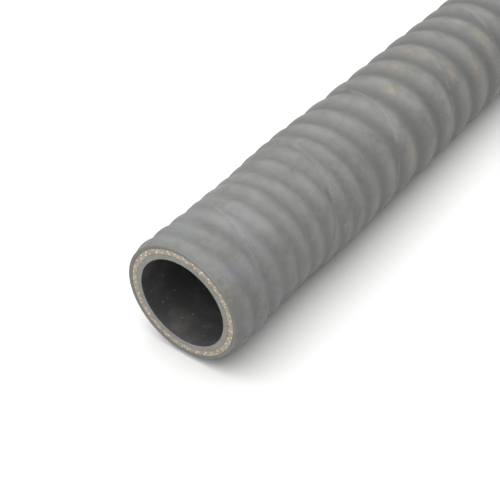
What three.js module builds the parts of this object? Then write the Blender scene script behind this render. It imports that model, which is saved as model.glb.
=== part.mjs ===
// Wire reinforced EPDM hose, a cut length of stock lying on its side. Millimetres, +Z up.
// The hose runs along X and is centred on it. It touches the ground at z = 0.
// Its wall has four pieces: an EPDM liner, a cord ply, a spring wire helix and a ridged EPDM cover.
// Every layer has the same number of flats, lined up, so bonded faces stay parallel.
// A radius below is the radius to the middle of a flat, and one flat faces straight down.
import * as THREE from 'three';
import { mergeVertices } from 'three/addons/utils/BufferGeometryUtils.js';

// Overall sizes
const LENGTH = 500;
const BORE_DIAMETER = 32;
const TUBE_WALL = 1.8;
const PLY_WALL = 1.8;
const COVER_WALL = 1.4;

// Cover outside: valley radius grows from the end cuffs to the body, and so does the ridge height.
// The body is widest at its two shoulders, where the turns open, and a little slimmer between them.
const BODY_BUILD_UP = 0.65;
const SHOULDER_SWELL = 0.2;
const SWELL_START = 118;
const SWELL_END = 158;
const CUFF_RIDGE = 0.55;
const BODY_RIDGE = 1.3;
const STEP_START = 44;
const STEP_END = 58;
const RIDGE_RUN_IN = 4;
const CREST_HALF_WIDTH = 0.2;

// Wire helix: close turns at both ends, easing to open turns along the body
const WIRE_DIAMETER = 1.2;
const FIRST_CREST = 4.6;
const CUFF_PITCH = 7.9;
const BODY_PITCH = 15;
const CLOSE_TURNS = 7.3;
const EASED_TURNS = 12;
const GROOVE_HALF_WIDTH = 2;

// Clearances between neighbouring pieces
const BOND_GAP = 0.05;
const WIRE_GAP = 0.1;
const GROOVE_GAP = 0.08;

// Flats round the hose, where the corners are counted from, and sides of the wire.
// Half a flat off a whole number puts the middle of a flat straight underneath.
const FLATS = 16;
const FIRST_CORNER = 0.5;
const WIRE_SIDES = 5;

const boreRadius = BORE_DIAMETER / 2;
const tubeRadius = boreRadius + TUBE_WALL;
const plyRadius = tubeRadius + PLY_WALL;
const plainRadius = plyRadius + COVER_WALL;
const crestRadius = plainRadius + BODY_BUILD_UP + BODY_RIDGE;
const landRadius = plyRadius + BOND_GAP;
const wireRadius = WIRE_DIAMETER / 2;
const wireLineRadius = plyRadius + WIRE_GAP + wireRadius;
const turnsAimed = 2 * EASED_TURNS + (LENGTH - 2 * stationOf(EASED_TURNS, BODY_PITCH)) / BODY_PITCH;
const turns = Math.round(turnsAimed);
const bodyPitch = pitchForTurns(turns);

// Smooth step from 0 to 1 between two values
function ease(value, from, to) {
  const t = Math.min(Math.max((value - from) / (to - from), 0), 1);
  return t * t * (3 - 2 * t);
}

// Turns counted at the open pitch: the area under the smooth step up to turn q
function openTurns(q) {
  const span = EASED_TURNS - CLOSE_TURNS;
  const t = Math.min(Math.max((q - CLOSE_TURNS) / span, 0), 1);
  return span * (t ** 3 - t ** 4 / 2) + Math.max(q - EASED_TURNS, 0);
}

// Distance from the first cut face to turn q of the helix, for a given open pitch
function stationOf(q, openPitch) {
  return FIRST_CREST + CUFF_PITCH * q + (openPitch - CUFF_PITCH) * openTurns(q);
}

// The open pitch that puts the middle turn at half the length
function pitchForTurns(count) {
  const missing = LENGTH / 2 - FIRST_CREST - CUFF_PITCH * count / 2;
  return CUFF_PITCH + missing / openTurns(count / 2);
}

// Distance from the first cut face to turn q, the same at both ends
function station(q) {
  if (q > turns / 2) {
    return LENGTH - stationOf(turns - q, bodyPitch);
  }
  return stationOf(q, bodyPitch);
}

// Local pitch of the helix at turn q
function pitchAt(q) {
  const fromEnd = Math.min(q, turns - q);
  return CUFF_PITCH + (bodyPitch - CUFF_PITCH) * ease(fromEnd, CLOSE_TURNS, EASED_TURNS);
}

// Valley radius of the cover at a distance s from the first cut face
function valleyRadius(s) {
  const fromEnd = Math.min(s, LENGTH - s);
  const slimming = SHOULDER_SWELL * ease(fromEnd, SWELL_START, SWELL_END);
  return plainRadius + BODY_BUILD_UP * ease(fromEnd, STEP_START, STEP_END) - slimming;
}

// Ridge height of the cover over turn q, fading out just before each cut face
function ridgeHeight(q, s) {
  const fromEnd = Math.min(q, turns - q);
  const full = CUFF_RIDGE + (BODY_RIDGE - CUFF_RIDGE) * ease(fromEnd, CLOSE_TURNS, EASED_TURNS);
  return full * ease(Math.min(s, LENGTH - s), 0, RIDGE_RUN_IN);
}

// Height of the groove roof over the land that clears the wire with sloping sides
function grooveHeight() {
  const centre = wireLineRadius - landRadius;
  const clear = wireRadius + GROOVE_GAP;
  let height = centre + clear;
  while ((height - centre) * GROOVE_HALF_WIDTH / Math.hypot(GROOVE_HALF_WIDTH, height) < clear) {
    height += 0.01;
  }
  return height;
}
const grooveRoof = grooveHeight();

// The groove is open along the wire and one flat past each of its ends
function grooveDepth(q) {
  const margin = 1.5 / FLATS;
  return q > -margin && q < turns + margin ? grooveRoof : 0;
}

// Point on the hose at a radius, a corner number and a distance from the first cut face
function hosePoint(radius, corner, s) {
  const angle = 2 * Math.PI * (corner + FIRST_CORNER) / FLATS;
  const r = radius / Math.cos(Math.PI / FLATS);
  return new THREE.Vector3(s - LENGTH / 2, -r * Math.sin(angle), crestRadius + r * Math.cos(angle));
}

// A turned solid whose closed profile may advance along the hose as it goes round.
// rowAt(row, corner) gives the radius and distance of one profile point at one corner.
function turnedSolid(rows, rowAt) {
  const profile = [...rows, rows[0]];
  const geometry = new THREE.LatheGeometry(profile.map(() => new THREE.Vector2(1, 0)), FLATS);
  const position = geometry.getAttribute('position');
  for (let corner = 0; corner <= FLATS; corner += 1) {
    profile.forEach((row, k) => {
      const { radius, s } = rowAt(row, corner);
      const p = hosePoint(radius, corner, Math.min(Math.max(s, 0), LENGTH));
      position.setXYZ(corner * profile.length + k, p.x, p.y, p.z);
    });
  }
  return closedGeometry(geometry);
}

// Welds coincident points and drops the triangles that have collapsed to nothing
function closedGeometry(geometry) {
  geometry.deleteAttribute('normal');
  geometry.deleteAttribute('uv');
  const welded = mergeVertices(geometry, 1e-4);
  const index = welded.getIndex().array;
  const kept = [];
  for (let i = 0; i < index.length; i += 3) {
    const [a, b, c] = index.slice(i, i + 3);
    if (a !== b && b !== c && c !== a) {
      kept.push(a, b, c);
    }
  }
  welded.setIndex(kept);
  welded.computeVertexNormals();
  return welded;
}

// A plain tube between two radii over the whole length
function layer(inner, outer) {
  const rows = [
    { radius: inner, s: 0 },
    { radius: outer, s: 0 },
    { radius: outer, s: LENGTH },
    { radius: inner, s: LENGTH },
  ];
  return turnedSolid(rows, (row) => row);
}

// The cover: broad ridges over every turn outside, and a roofed groove for the wire inside
function coverRows() {
  const outside = [];
  const inside = [];
  for (let turn = -2; turn <= turns + 1; turn += 1) {
    outside.push({ turn, part: 'ridge', side: -1 });
    outside.push({ turn, part: 'ridge', side: 1 });
    outside.push({ turn, part: 'valley', side: 0 });
    inside.push({ turn, part: 'land', side: -1 });
    inside.push({ turn, part: 'roof', side: 0 });
    inside.push({ turn, part: 'land', side: 1 });
  }
  return [...outside, ...inside.reverse()];
}

function coverRowAt(row, corner) {
  const q = row.turn + corner / FLATS;
  if (row.part === 'ridge') {
    const s = station(q) + row.side * CREST_HALF_WIDTH * pitchAt(q);
    return { radius: valleyRadius(s) + ridgeHeight(q, s), s };
  }
  if (row.part === 'valley') {
    const s = station(q + 0.5);
    return { radius: valleyRadius(s), s };
  }
  const s = station(q) + row.side * GROOVE_HALF_WIDTH;
  const rise = row.part === 'roof' ? grooveDepth(q) : 0;
  return { radius: landRadius + rise, s };
}

// The centre line of the wire, one step for every flat of every turn
class WireLine extends THREE.Curve {
  getPoint(t) {
    const q = t * turns;
    return hosePoint(wireLineRadius, q * FLATS, station(q));
  }

  getPointAt(u) {
    return this.getPoint(u);
  }

  getTangentAt(u) {
    const q = u * turns;
    const angle = 2 * Math.PI * (q + FIRST_CORNER / FLATS);
    const around = 2 * Math.PI * wireLineRadius / Math.cos(Math.PI / FLATS);
    const direction = new THREE.Vector3(pitchAt(q), -around * Math.cos(angle), -around * Math.sin(angle));
    return direction.normalize();
  }
}

function wireGeometry() {
  const section = new THREE.Shape();
  for (let i = 0; i < WIRE_SIDES; i += 1) {
    const angle = 2 * Math.PI * i / WIRE_SIDES;
    const x = wireRadius * Math.cos(angle);
    const y = wireRadius * Math.sin(angle);
    if (i === 0) {
      section.moveTo(x, y);
    } else {
      section.lineTo(x, y);
    }
  }
  section.closePath();
  return new THREE.ExtrudeGeometry(section, {
    steps: turns * FLATS,
    bevelEnabled: false,
    extrudePath: new WireLine(),
  });
}

// Materials, with the colours of the photographed hose
const linerRubber = new THREE.MeshStandardMaterial({ color: 0x4a4947, roughness: 0.75, metalness: 0 });
const cordFabric = new THREE.MeshStandardMaterial({ color: 0xa89c8a, roughness: 0.9, metalness: 0 });
const springSteel = new THREE.MeshStandardMaterial({ color: 0x9a9a98, roughness: 0.4, metalness: 1 });
const coverRubber = new THREE.MeshStandardMaterial({ color: 0x8f8e8a, roughness: 0.7, metalness: 0 });

function piece(name, geometry, material) {
  const mesh = new THREE.Mesh(geometry, material);
  mesh.name = name;
  return mesh;
}

const hose = new THREE.Group();
hose.add(piece('inner_tube', layer(boreRadius, tubeRadius), linerRubber));
hose.add(piece('cord_ply', layer(tubeRadius + BOND_GAP, plyRadius), cordFabric));
hose.add(piece('wire_helix', wireGeometry(), springSteel));
hose.add(piece('outer_cover', turnedSolid(coverRows(), coverRowAt), coverRubber));

export default hose;
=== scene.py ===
import math

import bmesh
import bpy
from mathutils import Euler, Matrix, Vector, noise


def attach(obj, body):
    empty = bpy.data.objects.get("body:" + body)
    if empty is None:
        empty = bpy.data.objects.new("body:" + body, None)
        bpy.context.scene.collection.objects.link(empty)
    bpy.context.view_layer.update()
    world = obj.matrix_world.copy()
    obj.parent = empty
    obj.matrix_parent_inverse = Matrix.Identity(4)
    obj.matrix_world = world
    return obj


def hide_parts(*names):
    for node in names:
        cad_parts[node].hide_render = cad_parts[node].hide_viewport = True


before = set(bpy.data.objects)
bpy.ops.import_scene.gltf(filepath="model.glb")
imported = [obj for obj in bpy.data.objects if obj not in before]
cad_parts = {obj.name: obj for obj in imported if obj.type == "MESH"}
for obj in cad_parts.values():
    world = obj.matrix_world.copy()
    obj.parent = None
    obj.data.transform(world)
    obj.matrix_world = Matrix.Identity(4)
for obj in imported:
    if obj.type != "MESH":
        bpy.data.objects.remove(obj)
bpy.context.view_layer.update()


# Camera
# It looks down the hose from in front of the cut end and a little to one side.
# The far end runs out of the picture at the top right.
CAMERA_PLACE = (-0.40932, -0.1418, 0.22448)
CAMERA_TURN = (49.72, 0.0, -54.0)
LENS_MM = 68.8
SENSOR_MM = 36.0
NEAR_CLIP = 0.01
FAR_CLIP = 20.0

camera_data = bpy.data.cameras.new("camera")
camera_data.lens = LENS_MM
camera_data.sensor_width = SENSOR_MM
camera_data.clip_start = NEAR_CLIP
camera_data.clip_end = FAR_CLIP
camera = bpy.data.objects.new("camera", camera_data)
camera.location = CAMERA_PLACE
camera.rotation_euler = Euler([math.radians(a) for a in CAMERA_TURN])
bpy.context.scene.collection.objects.link(camera)
bpy.context.scene.camera = camera


# Outer cover
# EPDM sheet laid over the wire and wrapped in wet nylon tape while it was cured.
# The tape shrank on the wire, so every turn shows as a soft ridge, and its weave is pressed in.
LENGTH = 0.5
AXIS_Z = 0.02295
COVER_INSIDE = 0.01972
PLAIN_RADIUS = 0.0210
WIDEST_RADIUS = 0.02294
BODY_BUILD_UP = 0.00065
SHOULDER_SWELL = 0.0002
SWELL_START = 0.118
SWELL_END = 0.158
STEP_START = 0.044
STEP_END = 0.066
CUFF_RIDGE = 0.00075
BODY_RIDGE = 0.0013
RIDGE_RUN_IN = 0.004
FIRST_CREST = 0.0046
FIRST_CREST_TURN = 0.5 / 16
CUFF_PITCH = 0.0079
CLOSE_TURNS = 7.3
EASED_TURNS = 12
TURNS = 42
SEGMENTS = 96
COVER_ROWS = 900
COVER_RIM = 0.00025
# The curing tape went on as a spiral with half its width lapped, and left a step at its edge.
TAPE_PITCH = 0.0417
TAPE_START = 0.0214
TAPE_STEP = 0.00018
TAPE_LAP = 0.5
TAPE_LIP = 0.015
# Along the step, a pale line on its lip is painted highlight and a dark line at its foot is painted shade.
LIP_HIGHLIGHT_LINE = (0.018, 0.018)
FOOT_SHADE_LINE = (-0.012, 0.022)
# Unevenness of hand building: how much, then the size of its lumps
RIDGE_STRAY = 0.06
RIDGE_STRAY_SIZE = 0.02
RIDGE_EVEN = 0.97
RIDGE_UNEVEN = 0.35
RIDGE_UNEVEN_SIZE = 0.028
SKIN_UNEVEN = 0.00012
SKIN_UNEVEN_SIZE = 0.014
PITCH_DRIFT = 0.0013
# Near the cut the cover lies off centre, and its first ridges stand out on one side.
OFF_CENTRE = 0.0003
OFF_CENTRE_TURN = 230 / 360
OFF_CENTRE_FADE = (0.008, 0.06)
LIFTED_TURN = 115 / 360
LIFTED_BY = 0.7
LIFTED_FADE = (0.012, 0.025)
CUT_WAVE = 0.00022
CUT_REACH = 0.004
# Share of dirt and painted shade in the valleys of the cuffs, what the body has more, and the bloom near the
# cut
CUFF_DIRT_AND_SHADE = 0.16
BODY_DIRT_AND_SHADE = 0.62
CUT_BLOOM = 0.6
BLOOM_FADE = (0.01, 0.05)
# Scuffs on the crests: distance from the cut, degrees from the top, length and width in mm
SCUFFS = (
    (115, 17, 5, 3),
    (131, 0, 5, 4),
    (145, -3, 7, 4),
    (162, 56, 8, 3),
    (178, 38, 10, 5),
    (147, 42, 7, 3),
    (105, 70, 5, 3),
    (2, 46, 12, 2),
)


def ease(value, start, end):
    t = min(max((value - start) / (end - start), 0.0), 1.0)
    return t * t * (3 - 2 * t)


def open_turns(q):
    """Turns counted at the open pitch, up to turn q."""
    span = EASED_TURNS - CLOSE_TURNS
    t = min(max((q - CLOSE_TURNS) / span, 0.0), 1.0)
    return span * (t**3 - t**4 / 2) + max(q - EASED_TURNS, 0.0)


OPENING = (LENGTH / 2 - FIRST_CREST - CUFF_PITCH * TURNS / 2) / open_turns(TURNS / 2)


def station(q):
    """Distance from the first cut face to turn q of the wire."""
    if q > TURNS / 2:
        return LENGTH - station(TURNS - q)
    drift = PITCH_DRIFT * ease(q, 9.5, 13.0) * (1 - ease(q, 15.5, TURNS / 2))
    return FIRST_CREST + CUFF_PITCH * q + OPENING * open_turns(q) + drift


def turn_at(s):
    """Turn of the wire over a distance s from the first cut face."""
    low, high = -3.0, TURNS + 3.0
    for _ in range(40):
        middle = (low + high) / 2
        if station(middle) < s:
            low = middle
        else:
            high = middle
    return (low + high) / 2


def around(point):
    """Part of a turn from the top towards -Y at which a point lies."""
    return math.atan2(-point.y, point.z - AXIS_Z) / math.tau


def wobble(point, size, seed):
    """Smooth unevenness between about -1 and 1, with lumps of a size in metres."""
    return noise.noise(point / size + Vector((seed, 0.0, 0.0)))


def knife_wave(t):
    """How far the knife strayed into the hose at part turn t, the same for every layer."""
    swing = 0.5 + 0.3 * math.sin(math.tau * (t + 0.1)) + 0.2 * math.sin(math.tau * (3 * t + 0.45))
    return CUT_WAVE * swing


def cut_unevenly(mesh):
    """Moves what lies near each cut face inwards, so that the cut isn't quite flat."""
    for vert in mesh.verts:
        from_end = LENGTH / 2 - abs(vert.co.x)
        if from_end < CUT_REACH:
            share = 1 - from_end / CUT_REACH
            vert.co.x -= math.copysign(knife_wave(around(vert.co)) * share, vert.co.x)


def ring_of(inside, outside, rim, rows, recess=0.0):
    """A tube between two radii, spun about the hose's axis, with rows of faces along its outside."""
    mesh = bmesh.new()
    half = LENGTH / 2 - recess
    corners = [(-half, inside), (-half, outside), (half, outside), (half, inside)]
    verts = [mesh.verts.new((x, 0.0, AXIS_Z + r)) for x, r in corners]
    for i in range(4):
        mesh.edges.new((verts[i], verts[(i + 1) % 4]))
    bmesh.ops.bevel(
        mesh,
        geom=verts,
        offset=rim,
        offset_type="OFFSET",
        affect="VERTICES",
        segments=3,
        profile=0.5,
        material=-1,
    )
    lengthwise = [e for e in mesh.edges if e.calc_length() > LENGTH / 2]
    outer_line = max(lengthwise, key=lambda e: e.verts[0].co.z)
    bmesh.ops.subdivide_edges(mesh, edges=[outer_line], cuts=rows - 1)
    bmesh.ops.spin(
        mesh,
        geom=mesh.verts[:] + mesh.edges[:],
        cent=(0.0, 0.0, AXIS_Z),
        axis=(1.0, 0.0, 0.0),
        angle=math.tau,
        steps=SEGMENTS,
        use_merge=True,
    )
    bmesh.ops.remove_doubles(mesh, verts=mesh.verts[:], dist=1e-6)
    bmesh.ops.recalc_face_normals(mesh, faces=mesh.faces[:])
    return mesh


def piece(name, mesh, materials):
    """A smooth-shaded object from a bmesh."""
    data = bpy.data.meshes.new(name)
    mesh.to_mesh(data)
    mesh.free()
    for material in materials:
        data.materials.append(material)
    for polygon in data.polygons:
        polygon.use_smooth = True
    made = bpy.data.objects.new(name, data)
    bpy.context.scene.collection.objects.link(made)
    return made


def srgb(code):
    """Linear colour from an sRGB hex value."""
    parts = [int(code[i : i + 2], 16) / 255 for i in (1, 3, 5)]
    return [p / 12.92 if p <= 0.04045 else ((p + 0.055) / 1.055) ** 2.4 for p in parts] + [1.0]


def add_node(material, kind, links=None, out=0, **settings):
    """Adds a node and returns one of its outputs. links has a value or an output for each input."""
    node = material.node_tree.nodes.new(kind)
    for name, value in settings.items():
        setattr(node, name, value)
    for key, value in (links or {}).items():
        if isinstance(value, bpy.types.NodeSocket):
            material.node_tree.links.new(value, node.inputs[key])
        else:
            node.inputs[key].default_value = value
    return node.outputs[out] if len(node.outputs) else None


def new_material(name):
    """An empty node material."""
    material = bpy.data.materials.new(name)
    material.use_nodes = True
    material.node_tree.nodes.clear()
    return material


def patches(material, place, size_mm, low, high, detail=3.0):
    """Soft patches from 0 to 1, of a size in millimetres, where noise passes from low to high."""
    field = {"Vector": place, "Scale": 1000.0 / size_mm, "Detail": detail, "Roughness": 0.6}
    raw = add_node(material, "ShaderNodeTexNoise", field)
    span = {"Value": raw, "From Min": low, "From Max": high}
    return add_node(material, "ShaderNodeMapRange", span, interpolation_type="SMOOTHSTEP")


# Grey EPDM cured under nylon tape: a dull, finely lined skin, paler on the crests, partly from wear and
# partly as painted highlight.
# The lines of the tape's weave are 0.65 mm apart and lean 13 degrees off the hose's length.
COVER_GREY = "#767672"
# Pale grey for the crests and the lap's lip: partly wear, partly painted highlight.
PALE_WEAR_AND_HIGHLIGHT = "#807f7b"
COVER_DARK = "#6b6c6a"
# Dark grey for painted shade and dirt: it darkens the valleys, the foot of the tape's lap and the lines of
# the weave.
SHADE_AND_DIRT_GREY = "#555555"
MOTTLE_DARK = "#565757"
CUT_BLUE = "#73777c"
SCUFF_TAN = "#8c846f"
SPECK_PALE = "#93918a"
WEFT_ROUND = 200.0
WEFT_ALONG = -352.3
WARP_ROUND = 41.0
WARP_ALONG = 1292.4

m = cover_rubber = new_material("cover_epdm_tape_cured")
place = add_node(m, "ShaderNodeTexCoord", out="Object")
split = add_node(m, "ShaderNodeSeparateXYZ", {0: place}).node.outputs
side = add_node(m, "ShaderNodeMath", {0: split["Y"], 1: -1.0}, operation="MULTIPLY")
up = add_node(m, "ShaderNodeMath", {0: split["Z"], 1: AXIS_Z}, operation="SUBTRACT")
angle = add_node(m, "ShaderNodeMath", {0: side, 1: up}, operation="ARCTAN2")
threads = []
for round_count, along_count in ((WEFT_ROUND, WEFT_ALONG), (WARP_ROUND, WARP_ALONG)):
    turned = add_node(m, "ShaderNodeMath", {0: angle, 1: round_count}, operation="MULTIPLY")
    slid = {0: split["X"], 1: math.tau * along_count, 2: turned}
    phase = add_node(m, "ShaderNodeMath", slid, operation="MULTIPLY_ADD")
    threads.append(add_node(m, "ShaderNodeMath", {0: phase}, operation="SINE"))
weft, warp = threads
ridge = add_node(m, "ShaderNodeAttribute", out="Fac", attribute_name="ridge_height")
scuff = add_node(m, "ShaderNodeAttribute", out="Fac", attribute_name="scuff")
lap = add_node(m, "ShaderNodeAttribute", out="Fac", attribute_name="tape_lip_highlight")
pressed = patches(m, place, 34.0, 0.28, 0.5, 2.0)
tone = add_node(
    m,
    "ShaderNodeMix",
    {0: patches(m, place, 13.0, 0.25, 0.75, 5.0), 6: srgb(COVER_DARK), 7: srgb(COVER_GREY)},
    out=2,
    data_type="RGBA",
)
mottle = patches(m, place, 2.2, 0.35, 0.65, 3.0)
mottle = add_node(m, "ShaderNodeMath", {0: mottle, 1: 0.42}, operation="MULTIPLY")
tone = add_node(m, "ShaderNodeMix", {0: mottle, 6: tone, 7: srgb(MOTTLE_DARK)}, out=2, data_type="RGBA")
# The crests are made paler, partly as wear and partly as painted highlight.
crest_wear_and_highlight = add_node(m, "ShaderNodeMath", {0: ridge, 1: patches(m, place, 9.0, 0.3, 0.7)}, operation="MULTIPLY")
tone = add_node(m, "ShaderNodeMix", {0: crest_wear_and_highlight, 6: tone, 7: srgb(PALE_WEAR_AND_HIGHLIGHT)}, out=2, data_type="RGBA")
# The valleys are darkened, partly as dirt and partly as painted shade.
valley_dirt_and_shade = add_node(m, "ShaderNodeAttribute", out="Fac", attribute_name="valley_dirt_and_shade")
tone = add_node(m, "ShaderNodeMix", {0: valley_dirt_and_shade, 6: tone, 7: srgb(SHADE_AND_DIRT_GREY)}, out=2, data_type="RGBA")
smeared = add_node(m, "ShaderNodeMath", {0: scuff, 1: patches(m, place, 2.5, 0.3, 0.7)}, operation="MULTIPLY")
tone = add_node(m, "ShaderNodeMix", {0: smeared, 6: tone, 7: srgb(SCUFF_TAN)}, out=2, data_type="RGBA")
bloom = add_node(m, "ShaderNodeAttribute", out="Fac", attribute_name="bloom")
bloom = add_node(m, "ShaderNodeMath", {0: bloom, 1: patches(m, place, 9.0, 0.35, 0.75)}, operation="MULTIPLY")
tone = add_node(m, "ShaderNodeMix", {0: bloom, 6: tone, 7: srgb(CUT_BLUE)}, out=2, data_type="RGBA")
# Pale line along the lap's lip: painted highlight on the tape's step.
lap_highlight_and_shade = add_node(m, "ShaderNodeMath", {0: lap, 1: patches(m, place, 6.0, 0.42, 0.6)}, operation="MULTIPLY")
tone = add_node(m, "ShaderNodeMix", {0: lap_highlight_and_shade, 6: tone, 7: srgb(PALE_WEAR_AND_HIGHLIGHT)}, out=2, data_type="RGBA")
# Dark line at the foot of the lap: painted shade in the crease.
foot = add_node(m, "ShaderNodeAttribute", out="Fac", attribute_name="tape_foot_shade")
lap_highlight_and_shade = add_node(m, "ShaderNodeMath", {0: foot, 1: patches(m, place, 9.0, 0.46, 0.75)}, operation="MULTIPLY")
tone = add_node(m, "ShaderNodeMix", {0: lap_highlight_and_shade, 6: tone, 7: srgb(SHADE_AND_DIRT_GREY)}, out=2, data_type="RGBA")
specks = patches(m, place, 1.9, 0.76, 0.84, 1.0)
tone = add_node(m, "ShaderNodeMix", {0: specks, 6: tone, 7: srgb(SPECK_PALE)}, out=2, data_type="RGBA")
# The weft lines are darkened towards the shade grey: painted shade in the weave's pressed grooves.
thread = {"Value": weft, "From Min": -1.0, "From Max": 1.0, "To Min": 0.0, "To Max": 0.62}
weave_painted_shade = add_node(m, "ShaderNodeMapRange", thread)
weave_painted_shade = add_node(m, "ShaderNodeMath", {0: weave_painted_shade, 1: pressed}, operation="MULTIPLY")
tone = add_node(m, "ShaderNodeMix", {0: weave_painted_shade, 6: tone, 7: srgb(SHADE_AND_DIRT_GREY)}, out=2, data_type="RGBA")
weave = add_node(m, "ShaderNodeMath", {0: warp, 1: 0.5, 2: weft}, operation="MULTIPLY_ADD")
weave = add_node(m, "ShaderNodeMath", {0: weave, 1: pressed}, operation="MULTIPLY")
grain = add_node(m, "ShaderNodeTexNoise", {"Vector": place, "Scale": 1400.0, "Detail": 3.0})
grain = add_node(m, "ShaderNodeMath", {0: grain, 1: 0.00003}, operation="MULTIPLY")
height = add_node(m, "ShaderNodeMath", {0: weave, 1: 0.00002, 2: grain}, operation="MULTIPLY_ADD")
skin = add_node(m, "ShaderNodeBump", {"Height": height, "Distance": 1.0, "Strength": 1.0})
finish = {"Base Color": tone, "Normal": skin, "Roughness": 0.62, "IOR": 1.5}
add_node(m, "ShaderNodeOutputMaterial", {"Surface": add_node(m, "ShaderNodeBsdfPrincipled", finish)})

cover = ring_of(COVER_INSIDE, PLAIN_RADIUS, COVER_RIM, COVER_ROWS)
MARKS = ("ridge_height", "valley_dirt_and_shade", "scuff", "tape_lip_highlight", "tape_foot_shade", "bloom")
marks = {name: cover.verts.layers.float.new(name) for name in MARKS}
turns_at = {}
for vert in cover.verts:
    away = Vector((0.0, vert.co.y, vert.co.z - AXIS_Z))
    share = (away.length - COVER_INSIDE) / (PLAIN_RADIUS - COVER_INSIDE)
    if share < 0.5:
        continue
    s = vert.co.x + LENGTH / 2
    key = round(s * 1e6)
    if key not in turns_at:
        turns_at[key] = turn_at(s)
    q = turns_at[key]
    t = around(vert.co)
    from_end = min(s, LENGTH - s)
    phase = q - t + FIRST_CREST_TURN + RIDGE_STRAY * wobble(vert.co, RIDGE_STRAY_SIZE, 3.0)
    crest = 0.5 + 0.5 * math.cos(math.tau * phase)
    openness = ease(min(q, TURNS - q), CLOSE_TURNS, EASED_TURNS)
    full = CUFF_RIDGE + (BODY_RIDGE - CUFF_RIDGE) * openness
    fill = BODY_BUILD_UP + BODY_RIDGE - full
    unevenness = RIDGE_EVEN + RIDGE_UNEVEN * wobble(vert.co, RIDGE_UNEVEN_SIZE, 7.0)
    full *= ease(from_end, 0.0, RIDGE_RUN_IN) * unevenness
    lifted = max(0.0, math.cos(math.tau * (t - LIFTED_TURN))) * (1 - ease(s, *LIFTED_FADE))
    full *= 1 + LIFTED_BY * lifted
    valley_radius = PLAIN_RADIUS + fill * ease(from_end, STEP_START, STEP_END)
    valley_radius -= SHOULDER_SWELL * ease(from_end, SWELL_START, SWELL_END)
    lap_part = ((s - TAPE_START) / TAPE_PITCH + t) % 1.0
    lift = TAPE_STEP * (1 - ease(lap_part, 0.0, TAPE_LAP)) * ease(lap_part, 0.0, TAPE_LIP)
    bumps = SKIN_UNEVEN * wobble(vert.co, SKIN_UNEVEN_SIZE, 11.0)
    radius = valley_radius + full * crest + bumps + lift - TAPE_STEP / 2
    radius += OFF_CENTRE * math.cos(math.tau * (t - OFF_CENTRE_TURN)) * (1 - ease(s, *OFF_CENTRE_FADE))
    radius = min(radius, WIDEST_RADIUS)
    moved = COVER_INSIDE + share * (radius - COVER_INSIDE)
    vert.co.y = away.y / away.length * moved
    vert.co.z = AXIS_Z + away.z / away.length * moved
    vert[marks["ridge_height"]] = crest
    # How much a valley is darkened, partly dirt and partly painted shade.
    vert[marks["valley_dirt_and_shade"]] = (1 - crest) ** 1.5 * (CUFF_DIRT_AND_SHADE + BODY_DIRT_AND_SHADE * openness)
    vert[marks["bloom"]] = CUT_BLOOM * (1 - ease(s, *BLOOM_FADE))
    # Where the painted highlight on the lap's lip and the painted shade at its foot lie.
    past_edge = (lap_part + 0.5) % 1.0 - 0.5
    for name, (middle, half_width) in (("tape_lip_highlight", LIP_HIGHLIGHT_LINE), ("tape_foot_shade", FOOT_SHADE_LINE)):
        vert[marks[name]] = max(0.0, 1 - abs(past_edge - middle) / half_width)
    smear = 0.0
    for mark_s, degrees, long_mm, wide_mm in SCUFFS:
        gap = (t - degrees / 360 + 0.5) % 1.0 - 0.5
        across = gap * math.tau * PLAIN_RADIUS * 1000 / long_mm
        along = (s * 1000 - mark_s) / wide_mm
        smear += math.exp(-2 * (across**2 + along**2))
    vert[marks["scuff"]] = min(smear, 1.0)
cut_unevenly(cover)
hose_cover = piece("hose_cover", cover, [cover_rubber])
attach(hose_cover, "root")
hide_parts("outer_cover")


# Cord ply
# Polyester cord laid in tan skim rubber between liner and wire, in two layers that cross.
# The knife leaves a ring of cord ends, paler than the rubber round them.
PLY_INSIDE = 0.01782
PLY_OUTSIDE = 0.0197
PLY_RIM = 0.00005
PLY_RECESS = 0.00006
CORD_ENDS = 38
CORD_RADIUS = 0.00032
CORD_LAYERS = ((0.0184, -32), (0.01915, 32))
# Skim rubber cut across: dull tan, grainy, with no gloss. The cord ends are cream to grey and fuzzy.
SKIM_TAN = "#9c9385"
SKIM_DARK = "#857c70"
CORD_CREAM = "#d6c8b0"
CORD_GREY = "#ab9f8d"

m = skim_rubber = new_material("ply_skim_rubber_cut")
place = add_node(m, "ShaderNodeTexCoord", out="Object")
tone = add_node(
    m,
    "ShaderNodeMix",
    {0: patches(m, place, 1.5, 0.35, 0.65, 4.0), 6: srgb(SKIM_DARK), 7: srgb(SKIM_TAN)},
    out=2,
    data_type="RGBA",
)
grain = add_node(m, "ShaderNodeTexNoise", {"Vector": place, "Scale": 2500.0, "Detail": 3.0})
grain = add_node(m, "ShaderNodeMath", {0: grain, 1: 0.00008}, operation="MULTIPLY")
skin = add_node(m, "ShaderNodeBump", {"Height": grain, "Distance": 1.0, "Strength": 1.0})
finish = {"Base Color": tone, "Normal": skin, "Roughness": 0.85, "IOR": 1.5}
add_node(m, "ShaderNodeOutputMaterial", {"Surface": add_node(m, "ShaderNodeBsdfPrincipled", finish)})

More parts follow.
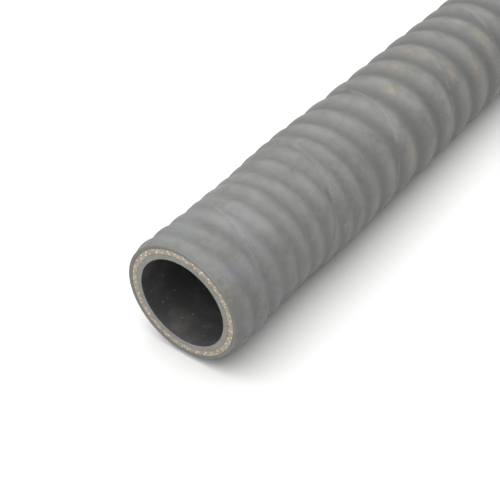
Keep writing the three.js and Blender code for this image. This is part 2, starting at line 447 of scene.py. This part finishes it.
m = cord_fibre = new_material("cord_polyester_cut")
place = add_node(m, "ShaderNodeTexCoord", out="Object")
tone = add_node(
    m,
    "ShaderNodeMix",
    {0: patches(m, place, 3.5, 0.35, 0.65, 4.0), 6: srgb(CORD_GREY), 7: srgb(CORD_CREAM)},
    out=2,
    data_type="RGBA",
)
grain = add_node(m, "ShaderNodeTexNoise", {"Vector": place, "Scale": 6000.0, "Detail": 2.0})
grain = add_node(m, "ShaderNodeMath", {0: grain, 1: 0.00006}, operation="MULTIPLY")
skin = add_node(m, "ShaderNodeBump", {"Height": grain, "Distance": 1.0, "Strength": 1.0})
finish = {"Base Color": tone, "Normal": skin, "Roughness": 0.9, "Sheen Weight": 0.2}
add_node(m, "ShaderNodeOutputMaterial", {"Surface": add_node(m, "ShaderNodeBsdfPrincipled", finish)})

ply = ring_of(PLY_INSIDE, PLY_OUTSIDE, PLY_RIM, 60, PLY_RECESS)
cut_unevenly(ply)
skim = piece("ply_skim", ply, [skim_rubber])
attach(skim, "root")
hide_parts("cord_ply")

ends = bmesh.new()
for face in (-1, 1):
    for layer, (line_radius, lean_degrees) in enumerate(CORD_LAYERS):
        for i in range(CORD_ENDS):
            jitter = noise.noise(Vector((i * 1.7, face * 5.0, 0.5 + layer)))
            spread = noise.noise(Vector((i * 2.3, face * 5.0, 4.5 + layer)))
            t = (i + layer / 2 + 0.5 * jitter) / CORD_ENDS
            made = bmesh.ops.create_uvsphere(ends, u_segments=8, v_segments=6, radius=CORD_RADIUS)
            shape = Matrix.Diagonal((0.35, 1.0 + 0.3 * jitter, 1.6 + 0.5 * spread, 1.0))
            tilt = Matrix.Rotation(math.radians(lean_degrees + 40 * spread), 4, "X")
            depth = face * (LENGTH / 2 - PLY_RECESS - knife_wave(t) - 0.00006)
            stand = Matrix.Translation((depth, 0.0, line_radius + 0.0002 * jitter))
            turn = Matrix.Rotation(math.tau * t, 4, "X")
            origin = Matrix.Translation((0.0, 0.0, AXIS_Z))
            bmesh.ops.transform(ends, matrix=origin @ turn @ stand @ tilt @ shape, verts=made["verts"])
cord_ends = piece("cord_ends", ends, [cord_fibre])
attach(cord_ends, "root")


# Liner
# EPDM tube formed on a smooth mandrel, so its bore is dark, even and faintly dusty.
# The knife leaves its end face paler and dull.
LINER_INSIDE = 0.0160
LINER_OUTSIDE = 0.0178
LINER_RIM = 0.0001
# EPDM cured on a mandrel is near black with a faint gloss, here with dust and a breath of rust.
# Where the knife went through, it is a paler, duller grey.
BORE_BLACK = "#353537"
BORE_DUSTY = "#4c4945"
BORE_DUST = "#7f7c73"
BORE_RUST = "#64493a"
FACE_GREY = "#807f7c"
FACE_DARK = "#737270"

m = bore_rubber = new_material("liner_epdm_mandrel_cured")
place = add_node(m, "ShaderNodeTexCoord", out="Object")
tone = add_node(
    m,
    "ShaderNodeMix",
    {0: patches(m, place, 8.0, 0.4, 0.75, 4.0), 6: srgb(BORE_BLACK), 7: srgb(BORE_DUSTY)},
    out=2,
    data_type="RGBA",
)
rust = patches(m, place, 16.0, 0.66, 0.76, 2.0)
tone = add_node(m, "ShaderNodeMix", {0: rust, 6: tone, 7: srgb(BORE_RUST)}, out=2, data_type="RGBA")
dust = patches(m, place, 1.1, 0.7, 0.8, 1.0)
tone = add_node(m, "ShaderNodeMix", {0: dust, 6: tone, 7: srgb(BORE_DUST)}, out=2, data_type="RGBA")
grain = add_node(m, "ShaderNodeTexNoise", {"Vector": place, "Scale": 900.0, "Detail": 2.0})
grain = add_node(m, "ShaderNodeMath", {0: grain, 1: 0.00002}, operation="MULTIPLY")
skin = add_node(m, "ShaderNodeBump", {"Height": grain, "Distance": 1.0, "Strength": 1.0})
finish = {"Base Color": tone, "Normal": skin, "Roughness": 0.55, "IOR": 1.5}
add_node(m, "ShaderNodeOutputMaterial", {"Surface": add_node(m, "ShaderNodeBsdfPrincipled", finish)})

m = cut_rubber = new_material("liner_epdm_knife_cut")
place = add_node(m, "ShaderNodeTexCoord", out="Object")
tone = add_node(
    m,
    "ShaderNodeMix",
    {0: patches(m, place, 1.2, 0.35, 0.65, 4.0), 6: srgb(FACE_DARK), 7: srgb(FACE_GREY)},
    out=2,
    data_type="RGBA",
)
grain = add_node(m, "ShaderNodeTexNoise", {"Vector": place, "Scale": 2200.0, "Detail": 3.0})
grain = add_node(m, "ShaderNodeMath", {0: grain, 1: 0.00003}, operation="MULTIPLY")
skin = add_node(m, "ShaderNodeBump", {"Height": grain, "Distance": 1.0, "Strength": 1.0})
finish = {"Base Color": tone, "Normal": skin, "Roughness": 0.7, "IOR": 1.5}
add_node(m, "ShaderNodeOutputMaterial", {"Surface": add_node(m, "ShaderNodeBsdfPrincipled", finish)})

liner = ring_of(LINER_INSIDE, LINER_OUTSIDE, LINER_RIM, 60)
for polygon in liner.faces:
    if abs(polygon.normal.x) > 0.3:
        polygon.material_index = 1
cut_unevenly(liner)
tube = piece("liner_tube", liner, [bore_rubber, cut_rubber])
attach(tube, "root")
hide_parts("inner_tube")


# Wire helix
# Hard drawn spring steel wire, wound over the ply and buried in the cover's rubber.
# Drawing leaves it dull grey and slightly uneven.
WIRE_LINE = 0.0203
WIRE_RADIUS = 0.0006
WIRE_STEPS = 32
# Drawn spring steel: a grey metal with a soft gloss.
STEEL_GREY = "#8f8f8d"
STEEL_DARK = "#6f6e6b"

m = spring_steel = new_material("spring_steel_drawn")
place = add_node(m, "ShaderNodeTexCoord", out="Object")
tone = add_node(
    m,
    "ShaderNodeMix",
    {0: patches(m, place, 1.0, 0.35, 0.65), 6: srgb(STEEL_DARK), 7: srgb(STEEL_GREY)},
    out=2,
    data_type="RGBA",
)
finish = {"Base Color": tone, "Metallic": 1.0, "Roughness": 0.35}
add_node(m, "ShaderNodeOutputMaterial", {"Surface": add_node(m, "ShaderNodeBsdfPrincipled", finish)})

line = bpy.data.curves.new("wire_line", "CURVE")
line.dimensions = "3D"
line.bevel_depth = WIRE_RADIUS
line.bevel_resolution = 2
line.use_fill_caps = True
spline = line.splines.new("POLY")
spline.points.add(TURNS * WIRE_STEPS)
for i, point in enumerate(spline.points):
    q = i / WIRE_STEPS
    bend = math.tau * (q + FIRST_CREST_TURN)
    out = -WIRE_LINE * math.sin(bend)
    rise = AXIS_Z + WIRE_LINE * math.cos(bend)
    point.co = (station(q) - LENGTH / 2, out, rise, 1.0)
line.materials.append(spring_steel)
wire = bpy.data.objects.new("spring_wire", line)
bpy.context.scene.collection.objects.link(wire)
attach(wire, "root")
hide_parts("wire_helix")


# Studio
# A plain pale floor under one large soft white light, with a weak one in front of the cut end.
FLOOR_SIZE = 6.0
# Matt paint, an even pale grey that the light turns white.
FLOOR_PALE = "#dadad9"
FLOOR_SHADE = "#d7d7d6"
AIR_STRENGTH = 0.47
PANELS = (
    ("sky_panel", (-0.4, 0.15, 1.6), 2.4, 58.0),
    ("front_panel", (-1.3, -0.6, 0.9), 0.9, 2.0),
)

m = floor_paint = new_material("floor_matt_white")
place = add_node(m, "ShaderNodeTexCoord", out="Object")
tone = add_node(
    m,
    "ShaderNodeMix",
    {0: patches(m, place, 400.0, 0.3, 0.7), 6: srgb(FLOOR_SHADE), 7: srgb(FLOOR_PALE)},
    out=2,
    data_type="RGBA",
)
finish = {"Base Color": tone, "Roughness": 0.9}
add_node(m, "ShaderNodeOutputMaterial", {"Surface": add_node(m, "ShaderNodeBsdfPrincipled", finish)})

ground = bmesh.new()
bmesh.ops.create_grid(ground, x_segments=2, y_segments=2, size=FLOOR_SIZE / 2)
floor = piece("floor", ground, [floor_paint])

for name, spot, size, power in PANELS:
    lamp = bpy.data.lights.new(name, "AREA")
    lamp.shape = "SQUARE"
    lamp.size = size
    lamp.energy = power
    panel = bpy.data.objects.new(name, lamp)
    panel.location = spot
    panel.rotation_euler = (-Vector(spot)).to_track_quat("-Z", "Y").to_euler()
    bpy.context.scene.collection.objects.link(panel)

air = bpy.data.worlds.new("studio_air")
air.use_nodes = True
air.node_tree.nodes["Background"].inputs["Color"].default_value = (1.0, 1.0, 1.0, 1.0)
air.node_tree.nodes["Background"].inputs["Strength"].default_value = AIR_STRENGTH
bpy.context.scene.world = air
bpy.context.scene.view_settings.view_transform = "Standard"
